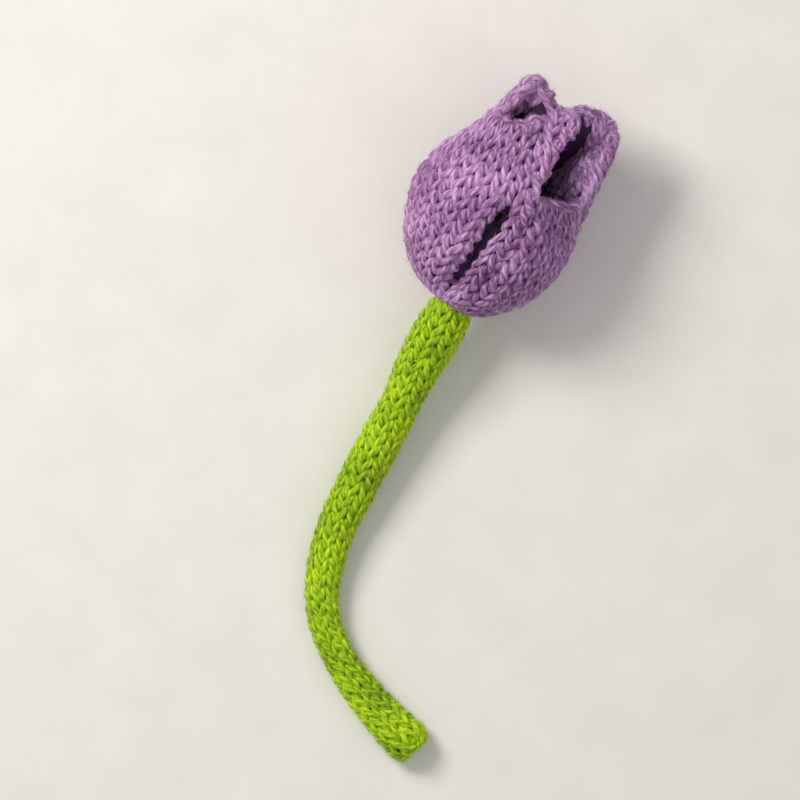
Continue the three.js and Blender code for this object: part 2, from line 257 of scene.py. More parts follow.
def shape_at(q):
    """Height, reach to the left and to the right, and half the depth, at a place q."""
    return np.moveaxis(smooth_rows(HEAD_SHAPE, q), -1, 0)


def skin(angle, q):
    """Points of the bare skin."""
    y, left, right, depth = shape_at(q)
    x = (right - left) / 2 + (right + left) / 2 * np.sin(angle)
    drawn = smoothstep(y, PINCH["starts"], PINCH["ends"]) * PINCH["share"]
    right_back = (x > PINCH["x"]) & (np.cos(angle) < 0)
    near = bell(x - PINCH["x"], np.where(right_back, PINCH["back_reach"], PINCH["reach"]))
    return np.stack([x, y, depth * np.cos(angle) * (1 - drawn * near)], -1)


def skin_frame(angle, q):
    """Points of the bare skin, and the directions out of it and up along it."""
    step = 1e-3
    across = skin(angle + step, q) - skin(angle - step, q)
    along = skin(angle, q + step) - skin(angle, q - step)
    return skin(angle, q), unit(np.cross(across, along)), unit(along)


def fold_lift(points):
    """How far the ridge, the groove and the dent of the front lift the skin, or sink it."""
    x, y, z = np.moveaxis(points, -1, 0)
    beside = x - on_line(SEAM_LINE, y)
    on_ridge = smoothstep(y, *RIDGE["starts"]) * bell(x - on_line(RIDGE["line"], y), RIDGE["reach"])
    in_dent = bell(np.hypot(x - DENT["x"], y - DENT["y"]), DENT["reach"])
    along_groove = between(y, SEAM_GROOVE["starts"], SEAM_GROOVE["ends"])
    in_groove = along_groove * bell(beside - SEAM_GROOVE["shift"], SEAM_GROOVE["reach"])
    lift = on_ridge * RIDGE["rise"] - in_groove * SEAM_GROOVE["drop"] - in_dent * DENT["drop"]
    return np.where(z < 0, 0, lift)


def seam_fold(angle, side, q):
    """Turns a place in the fabric, as an angle from the seam and the side of it, into an angle round the skin
    and a depth below it, so that the fabric's edges roll in where the seam gapes."""
    y, left, right, _ = shape_at(np.minimum(q, RIM_LINE))
    half = (left + right) / 2
    opened = between(y, GAPE_STARTS, GAPE_ENDS)
    turn = EDGE_TURN * np.maximum(opened, 1e-3)
    from_edge = side * angle * half
    left_to_turn = turn * np.maximum(1 - from_edge / EDGE_ROLL, 0)
    bow = EDGE_ROLL / turn
    gape = on_line(GAPE_HALF, y) * opened
    wider = gape + bow * np.sin(turn) - EDGE_ROLL
    rolled = gape + bow * (np.sin(turn) - np.sin(left_to_turn))
    beyond = from_edge + wider * bell(from_edge - EDGE_ROLL, EASE)
    away = np.where(from_edge < EDGE_ROLL, rolled, beyond) / half
    off_middle = (on_line(SEAM_LINE, y) - (right - left) / 2) / half
    seam = np.arcsin(np.clip(off_middle, -STEEPEST_SEAM, STEEPEST_SEAM))
    toward_front = 0.5 + 0.5 * np.cos(away)
    return side * away + seam * toward_front, bow * (1 - np.cos(left_to_turn))


def turned(first, second, angle):
    """Two coordinates after a turn that takes the first toward the second."""
    along = first * math.cos(angle) - second * math.sin(angle)
    return along, first * math.sin(angle) + second * math.cos(angle)


def to_table(points):
    """From the head's frame to the part's."""
    x, y, z = np.moveaxis(points, -1, 0)
    y, z = turned(y, z, HEAD_TILT)
    x, y = turned(x, y, HEAD_TURN)
    return np.stack([x, y, z], -1) + HEAD_BASE + PLAN_SHIFT


def rim_at(round_angle):
    """Where the fabric starts to roll: its length from the head's foot, and the rim's slope there."""
    step = 0.06
    before, here, after = (
        line_of_height(rim_height(round_angle + turn)) * SHAPE_STEP for turn in (-step, 0, step)
    )
    return here - ROLL - RIM_PROUD, (after - before) / (2 * step * round_reach(round_angle))


def round_reach(round_angle):
    """Millimetres round the head for a radian, near the rim."""
    return np.hypot(RIM_HALF[0] * np.cos(round_angle), RIM_HALF[1] * np.sin(round_angle))


def beyond_rim(round_angle, row):
    """How far past the start of the rim's roll a row is, in millimetres square to the rim."""
    rim, slope = rim_at(round_angle)
    return (row * ROW_HEIGHT - rim) / np.hypot(1, slope)


def row_beyond(round_angle, distance):
    """The row that is a distance past the start of the rim's roll."""
    rim, slope = rim_at(round_angle)
    return (rim + distance * np.hypot(1, slope)) / ROW_HEIGHT


def head_points(angle, side, row, depth, least):
    """Points of a layer of the head's fabric, depth below the skin where it is outside. At the rim it rolls
    over, square to the rim, and goes down the inside. No point is lower than least above the table."""
    round_angle, sunk = seam_fold(angle, side, row * ROW_HEIGHT / SHAPE_STEP)
    beyond = np.maximum(beyond_rim(round_angle, row), 0)
    rolled = np.clip(beyond / ROLL, 0, np.pi)
    inside = np.maximum(beyond - np.pi * ROLL, 0)
    _, slope = rim_at(round_angle)
    sideways = np.minimum(beyond, ALONG_RIM) * slope / np.hypot(1, slope)
    foot_angle = round_angle + sideways / round_reach(round_angle)
    rim, slope = rim_at(foot_angle)
    steep = np.hypot(1, slope)
    under = np.minimum(inside, ALONG_RIM / 2) * slope / steep
    degrees = degrees_round(foot_angle)
    in_pocket = between(degrees, POCKET_FLOOR["starts"], POCKET_FLOOR["ends"])
    in_band = between(degrees, BAND["starts"], BAND["ends"])
    down = inside * (1 - POCKET_FLOOR["slower"] * in_pocket)
    length = np.where(beyond > 0, rim - down, row * ROW_HEIGHT)
    base, out, up = skin_frame(foot_angle + under / round_reach(foot_angle), length / SHAPE_STEP)
    over = (up - slope[..., None] * np.cross(up, out)) / steep[..., None]
    floor_rise = in_pocket * POCKET_FLOOR["rise"] * smoothstep(inside, *POCKET_FLOOR["over"])
    band_rise = in_band * BAND["rise"] * bell(inside - BAND["at"], BAND["reach"]) * smoothstep(inside, 0, 1)
    arm = ROLL + HEAD_DEPTH - depth
    lift = fold_lift(base) - sunk - HEAD_DEPTH - ROLL + arm * np.cos(rolled)
    points = base + out * lift[..., None] + over * (arm * np.sin(rolled))[..., None]
    points[..., 2] += floor_rise + band_rise
    placed = to_table(points)
    placed[..., 2] = np.maximum(placed[..., 2], least)
    return placed


def cloth(layer, angle, row):
    """Points of a layer of fabric, and the directions straight out of it."""
    step = 2e-3
    across = layer(angle + step, row) - layer(angle - step, row)
    along = layer(angle, row + step) - layer(angle, row - step)
    return layer(angle, row), unit(np.cross(across, along))


def head_cloth(angle, side, row):
    """The middle of the head's fabric, and the directions straight out of it."""
    return cloth(lambda at, rows: head_points(at, side, rows, HEAD_DEPTH, FLAT_HEIGHT), angle, row)


# The stem's skin.


def stem_centre_line():
    """The stem's centre line at close places: lengths from the cut end, points, and radii."""
    axis = np.array(
        [
            -math.sin(HEAD_TURN) * math.cos(HEAD_TILT),
            math.cos(HEAD_TURN) * math.cos(HEAD_TILT),
            math.sin(HEAD_TILT),
        ]
    )
    neck = HEAD_BASE - NECK_BELOW * axis
    tip = HEAD_BASE + STEM_INTO_HEAD * axis
    plan = np.array([*([x, y, 0] for x, y, _ in STEM_LINE), neck, tip], float)
    steps = np.hypot(*np.diff(plan[:, :2], axis=0).T)
    to_head = np.append(np.cumsum(steps[::-1])[::-1], 0)
    rising = np.maximum(0, 1 - to_head / STEM_RISES)
    plan[:, 2] = STEM_LOW + (tip[2] - STEM_LOW) * rising**2
    line = smooth_line(plan)
    radii = [[radius] for _, _, radius in STEM_LINE] + [[STEM_NECK + NECK_FLARE], [STEM_NECK]]
    radius = smooth_rows(radii, np.linspace(0, len(radii) - 1, len(line)))[:, 0]
    lengths = np.append(0, np.cumsum(np.linalg.norm(np.diff(line, axis=0), axis=1)))
    return lengths, line + PLAN_SHIFT, radius


STEM_LENGTHS, STEM_POINTS, STEM_RADII = stem_centre_line()
STEM_TANGENTS = unit(np.gradient(STEM_POINTS, STEM_LENGTHS, axis=0))


def stem_points(angle, row, depth, least):
    """Points of the stem's fabric, depth below its skin. Rows below 0 close its cut end."""
    length = np.maximum(row, 0) * STEM_LENGTHS[-1] / STEM_ROWS
    centre, tangent = (
        np.stack([np.interp(length, STEM_LENGTHS, column) for column in table.T], -1)
        for table in (STEM_POINTS, STEM_TANGENTS)
    )
    side = unit(np.cross(tangent, [0, 0, 1]))
    up = np.cross(side, tangent)
    radius = np.interp(length, STEM_LENGTHS, STEM_RADII) - depth
    closing = np.clip(-row, 0, STEM_CLOSES["rows"]) / STEM_CLOSES["rows"]
    radius = radius * (1 - closing ** STEM_CLOSES["power"])
    past = STEM_CLOSES["out"] * np.sin(closing * np.pi / 2)
    around = side * np.cos(angle)[..., None] - up * np.sin(angle)[..., None]
    points = centre + around * radius[..., None] - tangent * past[..., None]
    points[..., 2] = np.maximum(points[..., 2], least)
    return points


def stem_cloth(angle, row):
    """The middle of the stem's fabric, and the directions straight out of it."""
    return cloth(lambda at, rows: stem_points(at, rows, STEM_DEPTH, STEM_FLAT), angle, row)


# Yarn.


def loop_course(count, lean, reach, depth):
    """One row of loops: places across in columns, along in rows, and out of the fabric, and the yarn's
    thickness there, with a hand's unevenness."""
    s = np.arange(count * LOOP_SAMPLES + 1) / LOOP_SAMPLES
    legs = np.arange(2 * count + 1)
    wobble = rng.normal(0, UNEVEN["spread"], (5, len(legs)))
    wobble[:, -1] = wobble[:, 0]
    lean_off, reach_off, depth_off, slip, swell = (np.interp(2 * s, legs, row) for row in wobble)
    across = s + lean * (1 + lean_off) * np.sin(4 * np.pi * s)
    along = reach * (1 + reach_off) * np.cos(2 * np.pi * s) + slip * UNEVEN["slip"]
    out = -depth * (1 + depth_off) * np.cos(4 * np.pi * s)
    return across, along, out, 1 + UNEVEN["swell"] * swell


def ring_faces(count, sides, closed):
    """The faces between rings of points, four corners each. In a closed row the last ring meets the first."""
    i = np.arange(count if closed else count - 1)[:, None]
    j = np.arange(sides)[None]
    after = (i + 1) % count
    beside = (j + 1) % sides
    corners = (i * sides + j, i * sides + beside, after * sides + beside, after * sides + j)
    return np.stack(np.broadcast_arrays(*corners), -1)


class Yarn:
    """Strands of one yarn that make one mesh."""

    SIDES = 12
    GROOVE = 0.045  # how deep the plies are marked, as a share of the radius
    GAP = 2  # the length between two strands in the map OFBake
    STRIP = dict(starts=0.04, width=0.92, margin=0.001)  # the part of a strip there that a strand takes
    CAP_TURNS = (0.5, 0.6, 0.6)  # the place in the maps of each face that closes a strand's end

    def __init__(self, radius, plies, pitch):
        self.radius = radius
        self.plies = plies
        self.pitch = pitch
        self.strands = []

    def strand(self, line, outward, thickness, closed=False):
        """Adds a strand along a line. outward gives a direction that is never along it, and thickness is a
        share of the yarn's radius, for the whole strand or for each place."""
        thickness = np.broadcast_to(thickness, len(line)).astype(float)
        self.strands.append((np.asarray(line, float), outward, thickness, closed))

    def rings(self, line, outward, thickness, closed):
        """Rings of points round a strand's line, and the length at each place of it."""
        if closed:
            tangent = unit(np.roll(line, -1, axis=0) - np.roll(line, 1, axis=0))
        else:
            tangent = unit(np.gradient(line, axis=0))
        first = unit(outward - (outward * tangent).sum(-1, keepdims=True) * tangent)
        second = np.cross(tangent, first)
        steps = np.linalg.norm(np.roll(line, -1, axis=0) - line, axis=1)
        length = np.append(0, np.cumsum(steps))
        around = np.arange(self.SIDES) / self.SIDES
        twist = length[: len(line), None] / self.pitch
        lobed = 1 + self.GROOVE * np.cos(2 * np.pi * self.plies * (around[None] + twist))
        spoke = self.radius * thickness[:, None] * lobed
        angle = 2 * np.pi * around[None, :, None]
        way = first[:, None] * np.cos(angle) + second[:, None] * np.sin(angle)
        return line[:, None] + spoke[..., None] * way, length

    def build(self, name, material):
        """Makes the mesh object. Its map Yarn holds the length along the strand in centimetres and the turn
        round it. Its map OFBake lays the strands out in strips of one width."""
        sides = self.SIDES
        points, faces, corners = [], [], []
        offset, passed = 0, 0.0
        for line, outward, thickness, closed in self.strands:
            rings, length = self.rings(line, outward, thickness, closed)
            count = len(line)
            points.append(rings.reshape(-1, 3))
            faces.extend((ring_faces(count, sides, closed) + offset).reshape(-1, 4).tolist())
            stretch = np.arange(count if closed else count - 1)
            near, far = length[stretch], length[stretch + 1]
            j = np.arange(sides)
            places = np.empty((len(stretch), sides, 4, 3))
            places[..., 0] = np.stack([near, near, far, far], -1)[:, None]
            places[..., 1] = np.stack([j, j + 1, j + 1, j], -1)[None] / sides
            places[..., 2] = near[:, None, None]
            places[..., ::2] += passed
            corners.append(places.reshape(-1, 3))
            tip = offset + count * sides
            for last in () if closed else (False, True):
                points.append(line[-1 if last else 0][None])
                base = offset + (count - 1 if last else 0) * sides
                for k in range(sides):
                    pair = [base + (k + 1) % sides, base + k]
                    faces.append((tip, *(pair[::-1] if last else pair)))
                at = near[-1 if last else 0] + passed
                corners.append(np.tile([[at, turn, at] for turn in self.CAP_TURNS], (sides, 1)))
                tip += 1
            offset = tip
            passed += length[-1 if closed else count - 1] + self.GAP
        along, turn, start = np.concatenate(corners).T
        points = np.concatenate(points)
        points[:, 2] = np.maximum(points[:, 2], 0)
        strips = max(1, round(math.sqrt(passed / (2 * math.pi * self.radius))))
        strip_length = passed / strips
        strip = np.floor(start / strip_length)
        fits = strip_length / (strip_length + self.GAP)
        bake_along = (along / strip_length - strip) * fits + self.STRIP["margin"]
        bake_across = (strip + self.STRIP["starts"] + self.STRIP["width"] * turn) / (strips + 1)
        bake = np.stack([bake_along, bake_across], -1)
        yarn_map = np.stack([along * 0.1, turn], -1)
        return mesh_object(name, points, faces, material, {"OFBake": bake, "Yarn": yarn_map})


# A loose fibre: its radius, how far round the yarn from straight out it may grow, where it is rooted in the
# yarn, how much it leans out and strays in its lower and its upper half, and how thin it is in the middle.
FIBRE = dict(radius=0.035, round=1.3, root=0.93, out=(0.45, 0.25), stray=(0.35, 0.45), middle=0.8)
FIBRE_CELL = dict(starts=0.08, width=0.84)  # the part of its cell in the map OFBake that it takes


def fuzz(name, yarns, count, lengths, material):
    """Loose fibres that stand off the yarns where they face out: thin tapering hairs, bent in the middle."""
    places, runs, outs, radii = [], [], [], []
    for yarn in yarns:
        for line, outward, thickness, _ in yarn.strands:
            places.append(line)
            runs.append(unit(np.gradient(line, axis=0)))
            outs.append(outward)
            radii.append(thickness * yarn.radius)
    places, runs, outs, radii = (np.concatenate(table) for table in (places, runs, outs, radii))
    pick = rng.integers(0, len(places), count)
    run, up = runs[pick], outs[pick]
    up = unit(up - (up * run).sum(-1, keepdims=True) * run)
    beside = np.cross(run, up)
    turn = rng.uniform(-FIBRE["round"], FIBRE["round"], (count, 1))
    off = up * np.cos(turn) + beside * np.sin(turn)
    root = places[pick] + off * radii[pick][:, None] * FIBRE["root"]
    length = rng.uniform(*lengths, (count, 1)) / 2
    low_out, high_out = FIBRE["out"]
    low_stray, high_stray = FIBRE["stray"]
    way = rng.choice([-1, 1], (count, 1))
    first = unit(run * way + off * low_out + rng.normal(0, low_stray, (count, 3)))
    second = unit(first + off * high_out + rng.normal(0, high_stray, (count, 3)))
    middle = root + first * length
    tip = middle + second * length
    wide = unit(np.cross(first, off))
    high = np.cross(first, wide)
    thirds = (0, 2 * math.pi / 3, 4 * math.pi / 3)
    spokes = [wide * math.cos(angle) + high * math.sin(angle) for angle in thirds]
    rings = [root + spoke * FIBRE["radius"] for spoke in spokes]
    rings += [middle + spoke * FIBRE["radius"] * FIBRE["middle"] for spoke in spokes]
    points = np.stack([*rings, tip], 1)
    points[..., 2] = np.maximum(points[..., 2], 0)

    # A fibre's faces are three sides, three sides of the tip, and the root.
    cells = math.ceil(math.sqrt(count))
    corner = np.stack(np.divmod(np.arange(count), cells), -1)
    shape, places_in_cell = [], []
    for k in range(3):
        after = (k + 1) % 3
        shape.append((k, after, after + 3, k + 3))
        places_in_cell += [(k / 3, 0), ((k + 1) / 3, 0), ((k + 1) / 3, 0.5), (k / 3, 0.5)]
    for k in range(3):
        shape.append((k + 3, (k + 1) % 3 + 3, 6))
        places_in_cell += [(k / 3, 0.5), ((k + 1) / 3, 0.5), ((k + 0.5) / 3, 0.9)]
    shape.append((2, 1, 0))
    places_in_cell += [(0.88, 1), (1, 1), (1, 0.88)]
    vertices = points.shape[1]
    faces = [tuple(vertices * n + vertex for vertex in face) for n in range(count) for face in shape]
    in_cell = FIBRE_CELL["width"] * np.array(places_in_cell)
    bake = (corner[:, None] + FIBRE_CELL["starts"] + in_cell) / cells
    return mesh_object(name, points.reshape(-1, 3), faces, material, {"OFBake": bake.reshape(-1, 2)})


def mesh_object(name, points, faces, material, maps=None):
    """A smooth-shaded object that rides on the part's one body. points is in millimetres, and maps holds a
    place for each corner of each face."""
    mesh = bpy.data.meshes.new(name)
    mesh.from_pydata((np.asarray(points) * MM).tolist(), [], faces)
    mesh.polygons.foreach_set("use_smooth", np.ones(len(mesh.polygons), bool))
    for map_name, corners in (maps or {}).items():
        layer = mesh.uv_layers.new(name=map_name)
        layer.data.foreach_set("uv", np.asarray(corners, np.float32).ravel())
    mesh.materials.append(material)
    piece = bpy.data.objects.new(name, mesh)
    bpy.context.collection.objects.link(piece)
    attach(piece, "root")
    return piece


# Materials.


def srgb(red, green, blue):
    """A linear colour from screen values of 0 to 255."""
    screen = (red / 255, green / 255, blue / 255)
    linear = (c / 12.92 if c <= 0.04045 else ((c + 0.055) / 1.055) ** 2.4 for c in screen)
    return (*linear, 1.0)


class Nodes:
    """A material's nodes, made and joined by short calls."""

    def __init__(self, name):
        self.material = bpy.data.materials.new(name)
        self.material.use_nodes = True
        self.tree = self.material.node_tree
        self.shader = self.tree.nodes["Principled BSDF"]

    def make(self, kind, **settings):
        node = self.tree.nodes.new("ShaderNode" + kind)
        for key, value in settings.items():
            setattr(node, key, value)
        return node

    def put(self, socket, value):
        if isinstance(value, bpy.types.NodeSocket):
            self.tree.links.new(value, socket)
        else:
            socket.default_value = value

    def math(self, operation, first, second=0.0):
        node = self.make("Math", operation=operation)
        self.put(node.inputs[0], first)
        self.put(node.inputs[1], second)
        return node.outputs[0]

    def weighed(self, weights, **values):
        """The sum of values, each times its weight."""
        total, *others = (self.math("MULTIPLY", value, weights[key]) for key, value in values.items())
        for other in others:
            total = self.math("ADD", total, other)
        return total

    def ramp(self, value, stops):
        node = self.make("ValToRGB")
        self.put(node.inputs[0], value)
        elements = node.color_ramp.elements
        while len(elements) < len(stops):
            elements.new(0.5)
        for element, (place, colour) in zip(elements, stops):
            element.position = place
            element.color = colour
        return node.outputs[0]

    def noise(self, where, scale, detail):
        node = self.make("TexNoise")
        self.put(node.inputs["Vector"], where)
        node.inputs["Scale"].default_value = scale
        node.inputs["Detail"].default_value = detail
        return node.outputs[0]

    def stretched_noise(self, first, first_scale, second, second_scale, detail):
        """Noise in two directions, each with its own scale."""
        where = self.make("CombineXYZ")
        self.put(where.inputs[0], self.math("MULTIPLY", first, first_scale))
        self.put(where.inputs[1], self.math("MULTIPLY", second, second_scale))
        return self.noise(where.outputs[0], 1.0, detail)

    def bump(self, height, distance, strength=1.0):
        node = self.make("Bump")
        node.inputs["Strength"].default_value = strength
        node.inputs["Distance"].default_value = distance
        self.put(node.inputs["Height"], height)
        return node.outputs[0]


# How much each thing counts in a yarn's tone and in its relief, and the tones of its three shades. In the
# tone, ply is painted shade in the grooves between the plies and painted highlight on their tops.
IN_TONE = dict(ply=0.2, fibres=0.5, flecks=0.75, drift=0.6)
IN_RELIEF = dict(ply=0.35, fibres=0.8, flecks=1.2)
SHADE_TONES = (0.45, 0.71, 0.95)


def yarn_material(name, shades, sheen_colour, yarn):
    """Spun yarn: plies that wind round each other, fine fibres along them, and tones that drift. shades runs
    from dark to light, and the ply wave's part of the tone paints shade between the plies and light on top of
    them."""
    n = Nodes(name)
    along_round = n.make("UVMap", uv_map="Yarn").outputs[0]
    parts = n.make("SeparateXYZ")
    n.put(parts.inputs[0], along_round)
    length, turn = parts.outputs[0], parts.outputs[1]
    wound = n.math("ADD", turn, n.math("MULTIPLY", length, 10 / yarn["pitch"]))
    wave = n.math("COSINE", n.math("MULTIPLY", wound, 2 * math.pi * yarn["plies"]))
    ply = n.math("ADD", n.math("MULTIPLY", wave, 0.5), 0.5)
    fibres = n.stretched_noise(length, 3.0, wound, 26.0, 3.0)
    flecks = n.stretched_noise(length, 6.0, wound, 9.0, 2.0)
    place = n.make("TexCoord").outputs["Object"]
    drift = n.math("SUBTRACT", n.noise(place, 110.0, 2.0), 0.5)
    # The ply wave's part of the tone is painted shade between the plies and painted highlight on their tops.
    tone = n.weighed(IN_TONE, ply=ply, fibres=fibres, flecks=flecks, drift=drift)
    n.put(n.shader.inputs["Base Color"], n.ramp(tone, list(zip(SHADE_TONES, shades))))
    n.put(n.shader.inputs["Roughness"], n.math("ADD", n.math("MULTIPLY", fibres, 0.25), 0.62))
    height = n.weighed(IN_RELIEF, ply=ply, fibres=fibres, flecks=flecks)
    n.put(n.shader.inputs["Normal"], n.bump(height, 0.00028, 0.9))
    n.shader.inputs["Sheen Weight"].default_value = 0.35
    n.shader.inputs["Sheen Roughness"].default_value = 0.45
    n.shader.inputs["Sheen Tint"].default_value = sheen_colour
    n.shader.inputs["Specular IOR Level"].default_value = 0.35
    return n.material


def fleece_material(name, dark, light, scale):
    """Loose fibres: tangled noise in tone, roughness and bump."""
    n = Nodes(name)
    place = n.make("TexCoord").outputs["Object"]
    tangle = n.noise(place, scale, 6.0)
    n.put(n.shader.inputs["Base Color"], n.ramp(tangle, [(0.3, dark), (0.7, light)]))
    n.put(n.shader.inputs["Roughness"], n.math("ADD", n.math("MULTIPLY", tangle, 0.2), 0.75))
    n.put(n.shader.inputs["Normal"], n.bump(n.noise(place, scale * 2.5, 4.0), 0.0004))
    n.shader.inputs["Sheen Weight"].default_value = 0.2
    n.shader.inputs["Sheen Tint"].default_value = light
    return n.material


PURPLE = [srgb(100, 52, 106), srgb(166, 114, 166), srgb(220, 175, 222)]
GREEN = [srgb(84, 120, 0), srgb(154, 194, 0), srgb(206, 236, 8)]
purple_yarn = yarn_material("purple_yarn", PURPLE, srgb(226, 192, 226), HEAD_YARN)
green_yarn = yarn_material("green_yarn", GREEN, srgb(190, 222, 20), STEM_YARN)
# Painted shade for the dark sheets behind the loops: dark purple and dark green, and a darker purple for the
# pockets' deeper shade.
purple_painted_shade = fleece_material("purple_painted_shade", srgb(46, 8, 54), srgb(94, 36, 102), 900.0)
pocket_painted_shade = fleece_material("pocket_painted_shade", srgb(26, 4, 32), srgb(62, 20, 68), 900.0)
green_painted_shade = fleece_material("green_painted_shade", srgb(52, 84, 6), srgb(92, 132, 14), 900.0)
# The filling's very dark purple is painted shade, for what shows of it deep in the slit and the pockets.
filling = fleece_material("filling", srgb(22, 4, 30), srgb(56, 24, 66), 700.0)
purple_hair = fleece_material("purple_hair", srgb(150, 100, 152), srgb(224, 184, 224), 1200.0)
green_hair = fleece_material("green_hair", srgb(126, 166, 10), srgb(208, 232, 84), 1200.0)
core_pile = fleece_material("core_pile", srgb(190, 196, 184), srgb(232, 236, 226), 1500.0)

# The head's knitting.

DRAWN_IN = dict(reach=0.5, shorter=0.5, deeper=0.9)  # the loop at the end of an opened row
OPENED = (GAPES[0] - 1, GAPES[1] + 1)  # the rows between these heights are opened
COLUMN_END = 1e-6  # a border counts as the end of the column before it


def signed(across, wales):
    """Angles from the seam, and the side of it, of places in columns that are counted to the right."""
    side = np.where(across < wales / 2, 1.0, -1.0)
    return 2 * np.pi * np.where(side > 0, across, across - wales) / wales, side


def kept_loops(row, wales):
    """Which loops of a row are made: not those too deep in the pockets or closed off by the pinch."""
    angle, side = signed(np.arange(wales) + 0.5, wales)
    at = np.full(wales, row + 0.5)
    round_angle, _ = seam_fold(angle, side, at * ROW_HEIGHT / SHAPE_STEP)
    inside = beyond_rim(round_angle, at) - np.pi * ROLL
    degrees = degrees_round(round_angle)
    ends, depths = zip(*POCKET_DEPTHS)
    deepest = np.array(depths)[np.searchsorted(ends, degrees)]
    line_below_rim = np.full(wales, RIM_LINE - 1.0)
    x = skin(round_angle, line_below_rim)[:, 0]
    closes = np.where(x < CLOSED["left_of"], CLOSED["left"], CLOSED["middle"])
    closes = np.where(x > 0, CLOSED["right"], closes)
    closed = (np.abs(x - PINCH["x"]) < CLOSED["reach"]) & (inside > closes)
    first, last = BEHIND_PINCH["over"]
    closed |= (degrees > first) & (degrees < last) & (inside > BEHIND_PINCH["depth"])
    return (inside < deepest) & ~closed


def stretches(kept, joined):
    """Where each run of kept loops starts and stops, counted on past the end in a joined row. A single loop
    is left out."""
    count = len(kept)
    if kept.all():
        return [(0, count)]
    first = int(np.argmin(kept)) if joined else 0
    order = [kept[(first + k) % count] for k in range(count)] + [False]
    runs, start = [], None
    for k, keep in enumerate(order):
        if keep and start is None:
            start = k
        if not keep and start is not None:
            runs.append((first + start, first + k))
            start = None
    return [(start, stop) for start, stop in runs if stop - start > 1]


def head_course(yarn, row, wales, opened):
    """One row of loops round the head, from the right side of the seam round to its left side. Where it is
    opened, the loops at its two ends are drawn in."""
    across, along, out, thickness = loop_course(wales, **HEAD_LOOP)
    if opened:
        at_edge = 1 - smoothstep(np.minimum(across, wales - across), 0, DRAWN_IN["reach"])
        along = along * (1 - DRAWN_IN["shorter"] * at_edge)
        out = out - DRAWN_IN["deeper"] * at_edge
    at_row = np.maximum(row + 0.5 + along, FOOT_ROW)
    angle, side = signed(across, wales)
    points, outward = head_cloth(angle, side, at_row)
    edges = signed(np.arange(wales + 1) - COLUMN_END, wales)
    borders = head_points(*edges, np.full(wales + 1, row + 0.5), HEAD_DEPTH, FLAT_HEIGHT)
    widths = np.linalg.norm(np.diff(borders, axis=0), axis=1)
    place = np.arange(len(across)) / LOOP_SAMPLES - 0.5
    width = np.interp(place, np.arange(wales), widths, period=wales)
    round_angle, _ = seam_fold(angle, side, at_row * ROW_HEIGHT / SHAPE_STEP)
    beyond = beyond_rim(round_angle, at_row)
    thickest = 1 + FULLER_INSIDE["by"] * smoothstep(beyond, *FULLER_INSIDE["over"])
    thickness = thickness * np.clip(width / FULL_WIDTH, THINNEST, thickest)
    past_rim = RIM_FLATTER["by"] * smoothstep(beyond, *RIM_FLATTER["over"])
    on_rim = RIM_FLATTER["on_top"] * bell(beyond - np.pi * ROLL / 2, RIM_FLATTER["reach"])
    line = points + outward * (out * (1 - past_rim - on_rim))[:, None]
    for start, stop in stretches(kept_loops(row, wales), not opened):
        closed = stop - start == wales and not opened
        index = np.arange(start * LOOP_SAMPLES, stop * LOOP_SAMPLES + (0 if closed else 1))
        if not opened:
            index = index % (wales * LOOP_SAMPLES)
        yarn.strand(line[index], outward[index], thickness[index], closed)


def gapes_at(row):
    """Whether a row is opened at the seam."""
    y = shape_at(np.array([(row + 0.5) * ROW_HEIGHT / SHAPE_STEP]))[0][0]
    return OPENED[0] < y < OPENED[1]


lower, upper = Yarn(**HEAD_YARN), Yarn(**HEAD_YARN)
for row in range(HEAD_ROWS):
    head_course(lower if row < HEAD_ROWS // 2 else upper, row, HEAD_WALES[row], gapes_at(row))

# The slit's two edges, each bound by a strand that winds along it, one turn for a row. The keys are the sides
# of the seam, and edge is the width of fabric between the strand's middle and the seam.
LIP_STRANDS = {-1.0: dict(edge=0.9, wave=0.5, thickness=1.0), 1.0: dict(edge=0.4, wave=0.3, thickness=0.8)}
LIP_RUN = (GAPES[0] - 1.5, GAPES[1] + 2)
LIP_STEP = 0.3
LIP_OUT = 0.3
lip_rows = np.arange(*LIP_RUN, LIP_STEP) / ROW_HEIGHT
for side, lip in LIP_STRANDS.items():
    turn = 2 * np.pi * lip_rows
    half = shape_at(lip_rows * ROW_HEIGHT / SHAPE_STEP)[1:3].mean(axis=0)
    angle = side * (lip["edge"] + lip["wave"] * np.sin(turn)) / half
    points, outward = head_cloth(angle, side, lip_rows)
    line = points + outward * (LIP_OUT + lip["wave"] * np.cos(turn))[:, None]
    lower.strand(line, outward, lip["thickness"])

# The cast-off edge: two strands that wind about each other along the rim.
rim_places = CAST_OFF["places"]
angle, side = signed(np.arange(rim_places) + 0.5, rim_places)
round_angle, _ = seam_fold(angle, side, np.full(rim_places, float(RIM_LINE)))
middle = head_points(angle, side, row_beyond(round_angle, 0), HEAD_DEPTH, FLAT_HEIGHT)
rim_length = np.cumsum(np.linalg.norm(middle - np.roll(middle, 1, axis=0), axis=1))
winds = round(rim_length[-1] / CAST_OFF["pitch"])
thin = between(degrees_round(round_angle), THIN_RIM["starts"], THIN_RIM["ends"])
for phase in (0, np.pi):
    turn = 2 * np.pi * winds * rim_length / rim_length[-1] + phase
    rows = row_beyond(round_angle, np.pi * ROLL / 2 + CAST_OFF["apart"] * np.cos(turn))
    points, outward = head_cloth(angle, side, rows)
    out = CAST_OFF["out"] - THIN_RIM["sunk"] * thin + CAST_OFF["deep"] * np.sin(turn)
    thickness = CAST_OFF["thickness"] * (1 - THIN_RIM["share"] * thin)
    upper.strand(points + outward * out[:, None], outward, thickness, closed=True)

head_lower = lower.build("head_knit_lower", purple_yarn)
head_upper = upper.build("head_knit_upper", purple_yarn)
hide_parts("head_cover")
